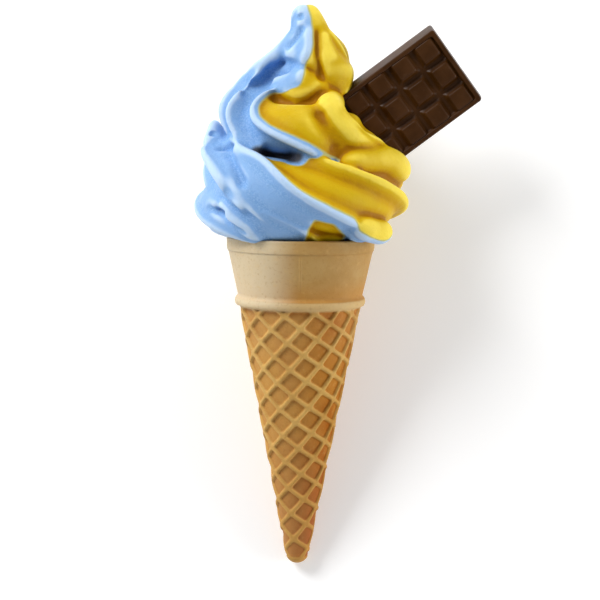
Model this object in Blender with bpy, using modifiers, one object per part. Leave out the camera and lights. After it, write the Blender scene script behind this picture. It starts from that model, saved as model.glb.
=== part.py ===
"""A soft serve ice cream in a wafer cone, lying on its back with the shown side up.

Two flavours are piped together as one star-shaped rope, which coils up from the cup of the cone and is
pulled to a peak. A moulded chocolate bar is stuck into its right side. Every shape is first made upright:
X to the right, Y to the back, Z up the cone's axis from the plane of its rim. Then it is laid down.
"""

import math

import bmesh
import bpy
import numpy as np
from mathutils import Matrix, Vector

MM = 0.001
TURN = 2 * math.pi
GAP = 0.3 * MM

# Wafer cone: a cup with a rim band, a bead, and a waffled cone with a round tip
RIM_RADIUS = 26.0 * MM
BAND_HEIGHT = 5.0 * MM
BAND_PROUD = 0.45 * MM
CUP_HEIGHT = 20.2 * MM
CUP_FOOT_RADIUS = 21.8 * MM
BEAD_RADIUS = 22.95 * MM
BEAD_HEIGHT = 3.8 * MM
CONE_ANGLE = math.radians(10.98)
APEX = -134.4 * MM
TIP_RADIUS = 4.22 * MM
WALL = 2.2 * MM
HOLLOW_FOOT = -101.5 * MM
ROUND_STEPS = 32
WAFER_SHARE = 0.74

# Waffle: a square lattice drawn on the unrolled cone
CELL = 7.2 * MM
RIB = 1.6 * MM
POCKET_DEPTH = 0.9 * MM
RIB_DOWN = math.radians(-35.4)
RIB_UP = math.radians(48.6)
FIRST_CELL = Vector((0.93, 101.1)) * MM
WAFFLE_TOP = (APEX * -1 - 26.4 * MM) / math.cos(CONE_ANGLE)
WAFFLE_FOOT = 20.5 * MM
SEAM_MARGIN = 1.0 * MM

# Rope: its turns are counted from the front, clockwise seen from above
FIRST_TURN = -0.3
LAST_TURN = 2.86
ROPE_STEPS = 260
ROPE_SIDES = 64
BASE_REACH = 28.3 * MM
REACH_LOSS = 6.3 * MM
RISE = 21.3 * MM
RISE_START = -3.3 * MM
BED_HEIGHT = 10.5 * MM
SAG = 2.4 * MM
SAG_SIDE = math.radians(290)
START_REACH = 4.0 * MM
START_HEIGHT = -4.0 * MM
PEAK_LIFT = 23.4 * MM
DIP = 4.4 * MM
PEAK_SHIFT = 3.2 * MM
CURL = 3.4 * MM
BASE_THICKNESS = 11.0 * MM
BELLY = 3.5 * MM
SLIMMING = 1.5 * MM
PEAK_FOOT = 2.0 * MM
TIP_THICKNESS = 4.2 * MM
TIP_ROUND = 3.6 * MM
PEAK_FLARE = 0.10
PEAK_SPREAD = 0.033 / MM

# Where along the rope it changes, in turns
BED_TURNS = (FIRST_TURN, 0.27)
SWELL_TURNS = (0.2, 0.8)
UPPER_TURNS = (1.2, 2.0)
PEAK_TURN = 2.1
CLOSING_TURNS = (2.18, 2.8)
CURL_TURNS = (2.55, LAST_TURN)

# Ridges of the star: their directions in the lower and the upper coils, and the valley after each
LOWER_RIDGES = np.radians([221, 268, 352, 396, 436, 474, 530])
UPPER_RIDGES = np.radians([188, 247, 335, 380, 420, 460, 505])
LOWER_VALLEYS = np.array([0.18, 0.30, 0.28, 0.27, 0.27, 0.27, 0.25])
UPPER_VALLEYS = np.array([0.38, 0.19, 0.27, 0.27, 0.27, 0.27, 0.27])
RIDGE_WIDTH = math.radians(12)
LOW_TWIST = math.radians(17)
HIGH_TWIST = math.radians(52)
FOLD = math.radians(45)
BORDER_FOLD = math.radians(34)
PRESSED = 0.75
PRESSED_SIDE = math.radians(40)

# Core: what fills the cup and the middle of the coils
CORE_FOOT = -98 * MM
CORE_RADIUS = 20.0 * MM
CORE_SHOULDER = 14.5 * MM
SHOULDER_HEIGHT = 44 * MM
CORE_TOP = 62 * MM

# Chocolate bar: a slab with a raised lip and rows of blocks
BAR_LENGTH = 54.0 * MM
BAR_WIDTH = 32.0 * MM
BAR_THICKNESS = 8.0 * MM
BAR_DRAFT = 0.9 * MM
LIP = 1.3 * MM
RECESS = 1.7 * MM
BLOCK_ROWS = 3
BLOCK_COLUMNS = 5
BLOCK_PITCH = 10.1 * MM
BLOCK = 8.4 * MM
BLOCK_TAPER = 0.8 * MM
BAR_END = Vector((54.6, -2.0, 61.2)) * MM
BAR_SLOPE = math.radians(37)
BAR_ROLL = math.radians(8)

# Lying down
FLAT_DEPTH = 2.0 * MM
VOXEL = 1.15 * MM
FLAVOUR_FACES = 2700


def ease(value, start, end):
    """0 before start, 1 after end, smooth between."""
    k = np.clip((value - start) / (end - start), 0, 1)
    return k * k * (3 - 2 * k)


def soft_max(a, b, blend):
    k = np.clip(0.5 + 0.5 * (a - b) / blend, 0, 1)
    return b * (1 - k) + a * k + blend * k * (1 - k)


def soft_min(a, b, blend):
    return -soft_max(-a, -b, blend)


def heading(turn):
    """The direction from the axis to the rope: 270 degrees is the front."""
    return math.radians(270) - TURN * turn


def bump_at(turn, middle, width):
    """1 at the middle, 0 some widths from it."""
    return np.exp(-(((turn - middle) / width) ** 2))


def rope_centre(turn):
    around = heading(turn)
    reach = BASE_REACH - REACH_LOSS * turn
    reach = START_REACH + (reach - START_REACH) * ease(turn, *BED_TURNS)
    reach = reach * (1 - ease(turn, *CLOSING_TURNS))
    height = soft_max(BED_HEIGHT + 0 * turn, RISE * turn + RISE_START, 9 * MM)
    height = height - SAG * np.cos(around - SAG_SIDE) * (1 - ease(turn, 2.0, 2.4))
    height = START_HEIGHT + (height - START_HEIGHT) * ease(turn, FIRST_TURN, 0.05)
    height = height + PEAK_LIFT * np.clip((turn - PEAK_TURN) / (LAST_TURN - PEAK_TURN), 0, 1) ** 1.6
    height = height - DIP * bump_at(turn, 2.14, 0.12)
    x = reach * np.cos(around) + PEAK_SHIFT * ease(turn, 2.25, 2.5) - CURL * ease(turn, *CURL_TURNS)
    return np.stack([x, reach * np.sin(around), height], -1)


def rope_thickness(turn):
    thick = BASE_THICKNESS + BELLY * ease(turn, *SWELL_TURNS) - SLIMMING * ease(turn, *UPPER_TURNS)
    thick = thick + PEAK_FOOT * bump_at(turn, 2.47, 0.10)
    height = rope_centre(turn)[:, 2]
    below = np.maximum(height.max() - height, 0)
    peak = TIP_THICKNESS + PEAK_FLARE * below + PEAK_SPREAD * below**2
    thick = np.where(turn > 2.3, soft_min(thick, peak, 2 * MM), thick)
    return thick * np.sqrt(1 - 0.98 * np.clip(1 - below / TIP_ROUND, 0, 1) ** 2)


def low_twist(turn):
    """How far the flavours' border and the ridge on it are turned at the front of the lower coil."""
    return LOW_TWIST * bump_at(turn, 1.08, 0.06)


def high_twist(turn):
    """How far the star is turned where the rope bends into the peak."""
    return HIGH_TWIST * bump_at(turn, 2.26, 0.095)


def star(turn, direction):
    """The section's radius as a share of the thickness: a ridge at each of seven directions."""
    upper = ease(turn, *UPPER_TURNS)[:, None]
    ridges = LOWER_RIDGES + (UPPER_RIDGES - LOWER_RIDGES) * upper + high_twist(turn)[:, None]
    ridges[:, 0] -= FOLD * (1 - ease(turn, 0.98, 1.13))
    ridges[:, 1] += low_twist(turn)
    ridges[:, 2] += BORDER_FOLD * ease(turn, 1.9, 2.02) * (1 - ease(turn, 2.3, 2.4))
    valleys = LOWER_VALLEYS + (UPPER_VALLEYS - LOWER_VALLEYS) * upper
    spans = np.diff(np.concatenate([ridges, ridges[:, :1] + TURN], axis=1), axis=1)
    share = np.ones(direction.shape)
    for number in range(ridges.shape[1]):
        past = (direction - ridges[:, number, None]) % TURN
        span = spans[:, number, None]
        nearest = np.minimum(past, span - past)
        dip = valleys[:, number, None] * (1 - np.exp(-((nearest / RIDGE_WIDTH) ** 2)))
        share = np.where(past < span, 1 - dip, share)
    off_top = np.abs((direction - PRESSED_SIDE + math.pi) % TURN - math.pi)
    pressed = (ease(turn, 1.5, 1.7) * (1 - ease(turn, 2.25, 2.4)))[:, None] * ease(-off_top, -1.0, -0.7)
    return share + (PRESSED - share) * pressed


def seam(turn):
    """The middle direction of the yellow half."""
    plain = np.radians(4 - 14 * ease(turn, 1.2, 1.9) - 8 * ease(turn, 2.3, 2.5) + 22 * ease(turn, 2.6, 2.8))
    return plain + low_twist(turn) + high_twist(turn)


def half_section(turn, side):
    """Directions and shares of the radius round half a section: out along the star, back through the middle."""
    arc = np.linspace(-math.pi / 2, math.pi / 2, ROPE_SIDES // 2)
    directions = seam(turn)[:, None] + arc[None] + (0 if side == "yellow" else math.pi)
    shares = star(turn, directions)
    inner = np.array([0.5, 0.02, 0.5])
    back = directions[:, [-1, 0, 0]]
    rims = shares[:, [-1, 0, 0]]
    return np.concatenate([directions, back], axis=1), np.concatenate([shares, rims * inner], axis=1)


def loft(name, rings):
    """A closed mesh through rings of points, with its ends capped by fans."""
    steps, sides = rings.shape[:2]
    ends = rings[[0, -1]].mean(axis=1)
    points = np.concatenate([rings.reshape(-1, 3), ends])
    side = np.arange(sides)
    after = (side + 1) % sides
    faces = []
    for step in range(steps - 1):
        low, high = step * sides, (step + 1) * sides
        faces += np.stack([low + side, low + after, high + after, high + side], -1).tolist()
    last = (steps - 1) * sides
    faces += np.stack([0 * side + steps * sides, after, side], -1).tolist()
    faces += np.stack([0 * side + steps * sides + 1, last + side, last + after], -1).tolist()
    mesh = bpy.data.meshes.new(name)
    mesh.from_pydata(points.tolist(), [], faces)
    return mesh


def rope_half(side):
    """Half of the rope, swept along its centre line with the nozzle's star kept square to it."""
    turn = np.linspace(FIRST_TURN, LAST_TURN, ROPE_STEPS)
    centre = rope_centre(turn)
    along = np.gradient(centre, turn, axis=0)
    along /= np.linalg.norm(along, axis=1)[:, None]
    directions, shares = half_section(turn, side)
    flat = np.stack([np.cos(directions), np.sin(directions), 0 * directions], -1)
    axle = np.cross([0, 0, 1], along)
    sine = np.linalg.norm(axle, axis=1)
    axle = (axle / np.maximum(sine, 1e-9)[:, None])[:, None]
    cosine = along[:, None, 2:]
    across = np.sum(flat * axle, axis=-1, keepdims=True)
    turned = flat * cosine + np.cross(axle, flat) * sine[:, None, None] + axle * across * (1 - cosine)
    radii = rope_thickness(turn)[:, None] * shares
    return loft("rope", centre[:, None] + turned * radii[..., None])


def core_half(side):
    """Half of what fills the cup and the coils' middle, a little into the wafer, which is then cut from it."""
    height = np.linspace(CORE_FOOT, CORE_TOP, 40)
    in_cone = (height - APEX) * math.tan(CONE_ANGLE) - WALL + 0.6 * MM
    in_coils = CORE_RADIUS + (CORE_SHOULDER - CORE_RADIUS) * ease(height, 0, SHOULDER_HEIGHT)
    dome = np.clip((height - SHOULDER_HEIGHT) / (CORE_TOP - SHOULDER_HEIGHT), 0, 0.98)
    radius = soft_min(in_cone, in_coils * np.sqrt(1 - dome**2), 2 * MM)
    arc = np.linspace(-math.pi / 2, math.pi / 2, 24) + (0 if side == "yellow" else math.pi)
    arc = arc + seam(np.zeros(1))
    flat = np.stack([np.cos(arc), np.sin(arc), 0 * arc], -1)
    rings = flat[None] * radius[:, None, None]
    rings[..., 2] = height[:, None]
    return loft("core", rings)


def collection(name):
    made = bpy.data.collections.new(name)
    bpy.context.scene.collection.children.link(made)
    return made


def add(name, mesh, group, pose=None):
    made = bpy.data.objects.new(name, mesh)
    group.objects.link(made)
    if pose is not None:
        made.matrix_world = pose
    return made


def add_cutter(name, mesh, group, pose=None):
    made = add(name, mesh, group, pose)
    made.hide_render = True
    made.display_type = "WIRE"
    return made


def boolean(target, other, operation, solver="EXACT"):
    cut = target.modifiers.new(other.name, "BOOLEAN")
    cut.operation = operation
    cut.solver = solver
    cut.object = other


def material(name, colour, roughness):
    made = bpy.data.materials.new(name)
    made.use_nodes = True
    shader = made.node_tree.nodes["Principled BSDF"]
    shader.inputs["Base Color"].default_value = (*colour, 1)
    shader.inputs["Roughness"].default_value = roughness
    shader.inputs["Metallic"].default_value = 0
    return made


def evaluated(source):
    """The object's mesh with its modifiers applied."""
    bpy.context.view_layer.update()
    return bpy.data.meshes.new_from_object(source.evaluated_get(bpy.context.evaluated_depsgraph_get()))


def keep_largest(mesh):
    """Drops every loose piece but the one with the most faces."""
    shape = bmesh.new()
    shape.from_mesh(mesh)
    left = set(shape.verts)
    pieces = []
    while left:
        piece = {left.pop()}
        edge = list(piece)
        while edge:
            vert = edge.pop()
            for other in (link.other_vert(vert) for link in vert.link_edges):
                if other not in piece:
                    piece.add(other)
                    edge.append(other)
        left -= piece
        pieces.append(piece)
    pieces.sort(key=len)
    for piece in pieces[:-1]:
        bmesh.ops.delete(shape, geom=list(piece), context="VERTS")
    shape.to_mesh(mesh)
    shape.free()


def turned(name, profile, group, steps=ROUND_STEPS):
    """A solid turned from a profile that starts and ends on the axis and runs down its outer side."""
    mesh = bpy.data.meshes.new(name)
    mesh.from_pydata([(r, 0, z) for r, z in profile], [(i, i + 1) for i in range(len(profile) - 1)], [])
    made = add(name, mesh, group)
    screw = made.modifiers.new("Screw", "SCREW")
    screw.axis = "Z"
    screw.angle = TURN
    screw.steps = steps
    screw.render_steps = steps
    screw.use_merge_vertices = True
    screw.merge_threshold = 0.00001
    mesh = evaluated(made)
    bpy.data.objects.remove(made)
    shape = bmesh.new()
    shape.from_mesh(mesh)
    bmesh.ops.remove_doubles(shape, verts=shape.verts, dist=0.00001)
    bmesh.ops.recalc_face_normals(shape, faces=shape.faces)
    shape.to_mesh(mesh)
    shape.free()
    return mesh


def wafer_profile(grow=0.0):
    """Inner side from the axis up to the rim, then the outer side down to the tip."""
    slope = math.tan(CONE_ANGLE)
    band_foot_radius = RIM_RADIUS - 0.25 * MM
    cup_top = band_foot_radius - BAND_PROUD
    bead_top = -CUP_HEIGHT
    bead_foot = bead_top - BEAD_HEIGHT
    wall = WALL + grow
    inner = [
        (0, HOLLOW_FOOT - grow),
        ((HOLLOW_FOOT - APEX) * slope - wall - grow, HOLLOW_FOOT - grow),
        ((bead_foot - APEX) * slope - wall - grow, bead_foot),
        (CUP_FOOT_RADIUS - wall - grow, bead_top),
        (RIM_RADIUS - wall - grow, -0.5 * MM),
        (RIM_RADIUS - wall + 0.4 * MM - grow, grow),
    ]
    rim = [
        (RIM_RADIUS - 0.5 * MM + grow, grow),
        (RIM_RADIUS + grow, -0.6 * MM),
        (band_foot_radius + grow, 0.5 * MM - BAND_HEIGHT),
        (cup_top + grow, -BAND_HEIGHT),
    ]
    bead = [
        (CUP_FOOT_RADIUS + grow, bead_top),
        (BEAD_RADIUS - 0.3 * MM + grow, bead_top - 0.6 * MM),
        (BEAD_RADIUS + grow, bead_top - 0.4 * BEAD_HEIGHT),
        (BEAD_RADIUS - 0.3 * MM + grow, bead_foot + 0.8 * MM),
        ((bead_foot - APEX) * slope + grow, bead_foot),
    ]
    centre = APEX + TIP_RADIUS / math.sin(CONE_ANGLE)
    tip = []
    for step in range(5):
        angle = CONE_ANGLE + (math.pi / 2 - CONE_ANGLE) * step / 4
        radius = TIP_RADIUS + grow
        tip.append((radius * math.cos(angle), centre - radius * math.sin(angle)))
    tip[-1] = (0, tip[-1][1])
    return inner + rim + bead + tip


def clip(polygon, normal, limit):
    """The part of a polygon where its points' share along normal is at most limit."""
    kept = []
    for here, after in zip(polygon, polygon[1:] + polygon[:1]):
        a, b = here.dot(normal) - limit, after.dot(normal) - limit
        if a <= 0:
            kept.append(here)
        if (a < 0) != (b < 0):
            kept.append(here.lerp(after, a / (a - b)))
    return kept


def area(polygon):
    return 0.5 * sum(a.x * b.y - b.x * a.y for a, b in zip(polygon, polygon[1:] + polygon[:1]))


def pocket_outlines():
    """Each pocket's outline on the unrolled cone, whose apex is the origin and whose front line is +Y."""
    down = Vector((math.cos(RIB_DOWN), math.sin(RIB_DOWN)))
    up = Vector((math.cos(RIB_UP), math.sin(RIB_UP)))
    half = (CELL - RIB) / 2
    corners = [-down * half - up * half, down * half - up * half, down * half + up * half, up * half - down * half]
    half_fan = math.pi * math.sin(CONE_ANGLE)
    sides = [Vector((math.cos(half_fan), -math.sin(half_fan))), Vector((-math.cos(half_fan), -math.sin(half_fan)))]
    reach = range(-18, 19)
    for column in reach:
        for row in reach:
            middle = FIRST_CELL + down * CELL * column + up * CELL * row
            if middle.length < 1e-6 or middle.y < 0:
                continue
            outline = [middle + corner for corner in corners]
            outline = clip(outline, middle.normalized(), WAFFLE_TOP)
            outline = clip(outline, -middle.normalized(), -WAFFLE_FOOT)
            for side in sides:
                outline = clip(outline, side, -SEAM_MARGIN)
            if len(outline) > 2 and area(outline) > 0.1 * CELL**2:
                yield outline


def on_cone(point, height):
    """A point of the unrolled cone, at this height over its surface."""
    slant = point.length
    around = math.atan2(point.x, point.y) / math.sin(CONE_ANGLE)
    radius = slant * math.sin(CONE_ANGLE) + height * math.cos(CONE_ANGLE)
    level = APEX + slant * math.cos(CONE_ANGLE) - height * math.sin(CONE_ANGLE)
    return (radius * math.sin(around), -radius * math.cos(around), level)


def pocket_mesh():
    """All pockets as one mesh: each is a plug with sloped sides, its faces following the cone."""
    points, faces = [], []
    for outline in pocket_outlines():
        middle = sum(outline, Vector((0, 0))) / len(outline)
        pieces = 1 if middle.length > 60 * MM else 2 if middle.length > 32 * MM else 3
        ring = []
        for here, after in zip(outline, outline[1:] + outline[:1]):
            ring += [here.lerp(after, piece / pieces) for piece in range(pieces)]
        sides = len(ring)
        start = len(points)
        for spread, height in ((0.86, -POCKET_DEPTH), (1.14, POCKET_DEPTH)):
            points += [on_cone(middle + (point - middle) * spread, height) for point in ring]
            points.append(on_cone(middle, height))
        floor_middle = start + sides
        top = floor_middle + 1
        for side in range(sides):
            after = (side + 1) % sides
            faces.append((start + side, start + after, top + after, top + side))
            faces.append((start + after, start + side, floor_middle))
            faces.append((top + side, top + after, top + sides))
    mesh = bpy.data.meshes.new("waffle pockets")
    mesh.from_pydata(points, [], faces)
    return mesh


def block(width, depth, low, high, taper):
    """A box from low to high whose top is narrower by taper on every side."""
    shape = bmesh.new()
    bmesh.ops.create_cube(shape, size=1)
    for vert in shape.verts:
        top = vert.co.z > 0
        inset = taper if top else 0
        vert.co.x = math.copysign(width / 2 - inset, vert.co.x)
        vert.co.y = math.copysign(depth / 2 - inset, vert.co.y)
        vert.co.z = high if top else low
    return shape


def to_mesh(shape, name):
    mesh = bpy.data.meshes.new(name)
    shape.to_mesh(mesh)
    shape.free()
    return mesh


def bar_blocks():
    """The raised blocks, joined into one mesh of separate boxes."""
    joined = bmesh.new()
    for column in range(BLOCK_COLUMNS):
        for row in range(BLOCK_ROWS):
            one = block(BLOCK, BLOCK, -RECESS - 0.6 * MM, 0.2 * MM, BLOCK_TAPER)
            place = Vector((column - (BLOCK_COLUMNS - 1) / 2, row - (BLOCK_ROWS - 1) / 2, 0)) * BLOCK_PITCH
            bmesh.ops.translate(one, verts=one.verts, vec=place)
            mesh = to_mesh(one, "block")
            joined.from_mesh(mesh)
            bpy.data.meshes.remove(mesh)
    return to_mesh(joined, "blocks")


def bar_pose():
    """The bar's middle and axes: its length runs up to the right, and its face turns a little downwards."""
    length = Vector((math.cos(BAR_SLOPE), 0, math.sin(BAR_SLOPE)))
    face = Matrix.Rotation(BAR_ROLL, 3, length) @ Vector((0, -1, 0))
    width = face.cross(length)
    middle = BAR_END - length * (BAR_LENGTH / 2)
    pose = Matrix((length, width, face)).transposed().to_4x4()
    pose.translation = middle
    return pose


def lying(points):
    """The pose that lays the cone down so that its tip and the back of the coils meet the floor."""
    tip_level = APEX + TIP_RADIUS / math.sin(CONE_ANGLE)
    low, high = 0.0, math.radians(40)
    for _ in range(40):
        tilt = (low + high) / 2
        rotation = Matrix.Rotation(tilt - math.pi / 2, 4, "X")
        turned_points = points[:, 2] * math.sin(tilt) - points[:, 1] * math.cos(tilt)
        tip_floor = tip_level * math.sin(tilt) - TIP_RADIUS
        if turned_points.min() - tip_floor < -FLAT_DEPTH:
            low = tilt
        else:
            high = tilt
    pose = Matrix.Translation((0, 0, -tip_floor)) @ rotation
    return pose


def soften(source, faces):
    """One skin over the joined and overlapping pieces, with this many faces."""
    remesh = source.modifiers.new("Remesh", "REMESH")
    remesh.mode = "VOXEL"
    remesh.voxel_size = VOXEL
    skin = evaluated(source)
    source.modifiers.clear()
    source.data = skin
    smooth = source.modifiers.new("Smooth", "SMOOTH")
    smooth.factor = 0.5
    smooth.iterations = 2
    decimate = source.modifiers.new("Decimate", "DECIMATE")
    decimate.ratio = faces / (2 * len(skin.polygons))
    skin = evaluated(source)
    source.modifiers.clear()
    keep_largest(skin)
    source.data = skin


def join(name, meshes, group):
    shape = bmesh.new()
    for mesh in meshes:
        shape.from_mesh(mesh)
    return add(name, to_mesh(shape, name), group)


def mesh_points(mesh):
    found = np.empty(len(mesh.vertices) * 3, np.float32)
    mesh.vertices.foreach_get("co", found)
    return found.reshape(-1, 3)


def set_on_origin(pieces):
    """Moves everything so that the middle of the underside of the pieces' box is the origin."""
    found = []
    for piece in pieces:
        mesh = evaluated(piece)
        mesh.transform(piece.matrix_world)
        found.append(mesh_points(mesh))
        bpy.data.meshes.remove(mesh)
    points = np.concatenate(found)
    low, high = points.min(axis=0), points.max(axis=0)
    shift = Matrix.Translation((-(low[0] + high[0]) / 2, -(low[1] + high[1]) / 2, -low[2]))
    for made in bpy.data.objects:
        made.matrix_world = shift @ made.matrix_world


def main():
    for old in list(bpy.data.objects):
        bpy.data.objects.remove(old)
    parts = collection("soft serve ice cream")
    cutters = collection("cutters")

    flavours = {}
    for side in ("yellow", "blue"):
        flavours[side] = join(side + "_ice_cream", [rope_half(side), core_half(side)], parts)
        soften(flavours[side], FLAVOUR_FACES)
    points = np.concatenate([mesh_points(piece.data) for piece in flavours.values()])
    lie = lying(points)

    wall_cutter = add_cutter("wafer space", turned("wafer space", wafer_profile(GAP), cutters), cutters, lie)
    place = bar_pose()
    grown = block(BAR_LENGTH + 2 * GAP, BAR_WIDTH + 2 * GAP, -BAR_THICKNESS - GAP, GAP, BAR_DRAFT)
    slot = add_cutter("bar space", to_mesh(grown, "bar space"), cutters, lie @ place)
    floor = block(1, 1, -0.1, 0, 0)
    floor_cutter = add_cutter("floor", to_mesh(floor, "floor"), cutters)

    kept_apart = add_cutter("yellow space", flavours["yellow"].data.copy(), cutters, lie)
    grow = kept_apart.modifiers.new("Grow", "DISPLACE")
    grow.mid_level = 0
    grow.strength = 1.7 * GAP

    tints = {"yellow": (0.72, 0.46, 0.02), "blue": (0.30, 0.48, 0.80)}
    for side, piece in flavours.items():
        piece.matrix_world = lie
        if side == "blue":
            boolean(piece, kept_apart, "DIFFERENCE", "MANIFOLD")
            boolean(piece, flavours["yellow"], "DIFFERENCE", "MANIFOLD")
        for cutter in (wall_cutter, slot, floor_cutter):
            boolean(piece, cutter, "DIFFERENCE", "MANIFOLD")
        whole = evaluated(piece)
        piece.modifiers.clear()
        keep_largest(whole)
        whole.materials.clear()
        whole.materials.append(material(side + " ice cream", tints[side], 0.45))
        whole.shade_smooth()
        piece.data = whole

    wafer = add("wafer_cone", turned("wafer", wafer_profile(), parts), parts, lie)
    pockets = add_cutter("waffle pockets", pocket_mesh(), cutters, lie)
    boolean(wafer, pockets, "DIFFERENCE", "MANIFOLD")
    boolean(wafer, floor_cutter, "DIFFERENCE")
    thin = wafer.modifiers.new("Decimate", "DECIMATE")
    thin.ratio = WAFER_SHARE
    wafer.data.materials.append(material("wafer", (0.50, 0.27, 0.10), 0.75))
    wafer.data.shade_smooth()
    wafer.data.set_sharp_from_angle(angle=math.radians(30))

    slab = block(BAR_LENGTH, BAR_WIDTH, -BAR_THICKNESS, 0, BAR_DRAFT)
    bar = add("chocolate_bar", to_mesh(slab, "bar"), parts, lie @ place)
    tray_length = BAR_LENGTH - 2 * (BAR_DRAFT + LIP)
    tray_width = BAR_WIDTH - 2 * (BAR_DRAFT + LIP)
    tray = block(tray_length, tray_width, -RECESS, 1 * MM, -0.5 * MM)
    tray_cutter = add_cutter("bar tray", to_mesh(tray, "tray"), cutters, lie @ place)
    blocks = add_cutter("bar blocks", bar_blocks(), cutters, lie @ place)
    boolean(bar, tray_cutter, "DIFFERENCE")
    boolean(bar, blocks, "UNION")
    bar.data.materials.append(material("chocolate", (0.055, 0.022, 0.010), 0.4))
    set_on_origin([*flavours.values(), wafer, bar])


main()
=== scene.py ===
"""The looks of a soft serve ice cream in a wafer cone, lying on its back with the shown side up.

Every shape is made upright first: X to the right, Y to the back, Z up the cone's axis from the plane of its
rim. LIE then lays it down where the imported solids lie.
"""

import math

import bmesh
import bpy
import numpy as np
from mathutils import Matrix, Vector, noise
from mathutils.bvhtree import BVHTree


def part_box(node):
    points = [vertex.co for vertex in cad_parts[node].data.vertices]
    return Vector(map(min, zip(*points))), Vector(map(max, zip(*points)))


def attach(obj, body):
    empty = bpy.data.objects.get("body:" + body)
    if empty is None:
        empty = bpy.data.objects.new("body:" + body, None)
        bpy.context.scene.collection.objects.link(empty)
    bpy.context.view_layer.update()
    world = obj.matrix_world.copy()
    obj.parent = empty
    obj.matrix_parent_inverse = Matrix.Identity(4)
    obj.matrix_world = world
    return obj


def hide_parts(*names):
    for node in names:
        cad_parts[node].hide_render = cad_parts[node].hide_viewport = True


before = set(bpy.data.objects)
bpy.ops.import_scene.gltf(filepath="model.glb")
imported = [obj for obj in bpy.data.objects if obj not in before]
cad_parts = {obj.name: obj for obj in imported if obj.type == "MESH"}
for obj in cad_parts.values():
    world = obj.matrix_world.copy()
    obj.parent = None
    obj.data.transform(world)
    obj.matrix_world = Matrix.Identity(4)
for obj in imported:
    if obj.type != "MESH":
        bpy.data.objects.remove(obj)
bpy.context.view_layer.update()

MM = 0.001
TURN = 2 * math.pi

# Wafer cone: a cup with a rim band, a bead, and a waffled cone with a round tip
RIM_RADIUS = 26.0 * MM
BAND_HEIGHT = 5.0 * MM
BAND_PROUD = 0.45 * MM
CUP_HEIGHT = 20.7 * MM
CUP_FOOT_RADIUS = 21.8 * MM
BEAD_RADIUS = 22.95 * MM
BEAD_HEIGHT = 3.3 * MM
CONE_ANGLE = math.radians(10.98)
APEX = -134.4 * MM
TIP_RADIUS = 4.22 * MM
TIP_LEVEL = APEX + TIP_RADIUS / math.sin(CONE_ANGLE)
WALL = 2.2 * MM
HOLLOW_FOOT = -101.5 * MM
WAFER_SIDES = 432
ROW = 0.33 * MM

# Waffle: a square lattice drawn on the unrolled cone
CELL = 7.2 * MM
RIB = 1.5 * MM
POCKET_DEPTH = 0.95 * MM
POCKET_SLOPE = 0.55 * MM
RIB_DOWN = math.radians(-35.4)
RIB_UP = math.radians(48.6)
FIRST_CELL = np.array([0.93, 101.1]) * MM
WAFFLE_FOOT = 20.5 * MM
SEAM_MARGIN = 1.0 * MM
CREST = 0.12 * MM

# Towards the tip the pockets get shallower, down to this share of their depth between these slants
SHALLOWEST = 0.3
SHALLOW_SLANTS = (10 * MM, 60 * MM)

# Mould line on the cup's front, and the wafer's uneven surface
LINE_RADIUS = 24 * MM
LINE_WIDTH = 0.35 * MM
LINE_HEIGHT = 0.34 * MM
LINE_FOOT = (-17.5 * MM, -15 * MM)
ROUGH_SCALE = 70
ROUGH_HEIGHT = 0.10 * MM
CRUMB_SCALE = 420
CRUMB_HEIGHT = 0.035 * MM

# Rope: its turns are counted from the front, clockwise seen from above
FIRST_TURN = -0.3
LAST_TURN = 2.86
ROPE_STEPS = 520
ROPE_SIDES = 168
BASE_REACH = 28.3 * MM
REACH_LOSS = 6.3 * MM
RISE = 21.3 * MM
RISE_START = -3.3 * MM
BED_HEIGHT = 10.5 * MM
BED_BLEND = 9 * MM
SAG = 2.4 * MM
SAG_SIDE = math.radians(290)
START_REACH = 4.0 * MM
START_HEIGHT = -4.0 * MM
PEAK_LIFT = 23.4 * MM
PEAK_STEEPNESS = 1.6
DIP = 4.4 * MM
PEAK_SHIFT = 3.2 * MM
CURL = 3.4 * MM
BASE_THICKNESS = 11.0 * MM
BELLY = 3.5 * MM
SLIMMING = 1.5 * MM
PEAK_FOOT = 2.0 * MM
TIP_THICKNESS = 4.2 * MM
TIP_ROUND = 3.6 * MM
PEAK_FLARE = 0.10
PEAK_SPREAD = 0.021 / MM

# Where along the rope it changes, in turns: from one to the other
START_TURNS = (FIRST_TURN, 0.05)
BED_TURNS = (FIRST_TURN, 0.27)
SWELL_TURNS = (0.2, 0.8)
UPPER_TURNS = (1.2, 2.0)
LEVEL_TURNS = (2.0, 2.4)
PEAK_TURN = 2.1
CLOSING_TURNS = (2.18, 2.8)
SHIFT_TURNS = (2.25, 2.5)
SLIM_TURN = 2.3
CURL_TURNS = (2.55, LAST_TURN)

# Places where it swells, dips or twists: the middle and the width of each, in turns
DIP_PLACE = (2.14, 0.12)
PEAK_FOOT_PLACE = (2.47, 0.10)
LOW_TWIST_PLACE = (1.08, 0.06)
HIGH_TWIST_PLACE = (2.26, 0.095)

# Ridges of the star: their directions in the lower and the upper coils, and the valley after each
LOWER_RIDGES = np.radians([221, 268, 352, 396, 436, 474, 530])
UPPER_RIDGES = np.radians([188, 247, 335, 380, 420, 460, 505])
LOWER_VALLEYS = np.array([0.18, 0.30, 0.28, 0.27, 0.27, 0.27, 0.25])
UPPER_VALLEYS = np.array([0.38, 0.19, 0.27, 0.27, 0.27, 0.27, 0.27])
RIDGE_WIDTH = math.radians(11)
LOW_TWIST = math.radians(17)
HIGH_TWIST = math.radians(52)
FOLD = math.radians(45)
FOLD_TURNS = (0.98, 1.13)
BORDER_FOLD = math.radians(34)
BORDER_FOLD_TURNS = (1.9, 2.02)
BORDER_FOLD_END = (2.3, 2.4)

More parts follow.
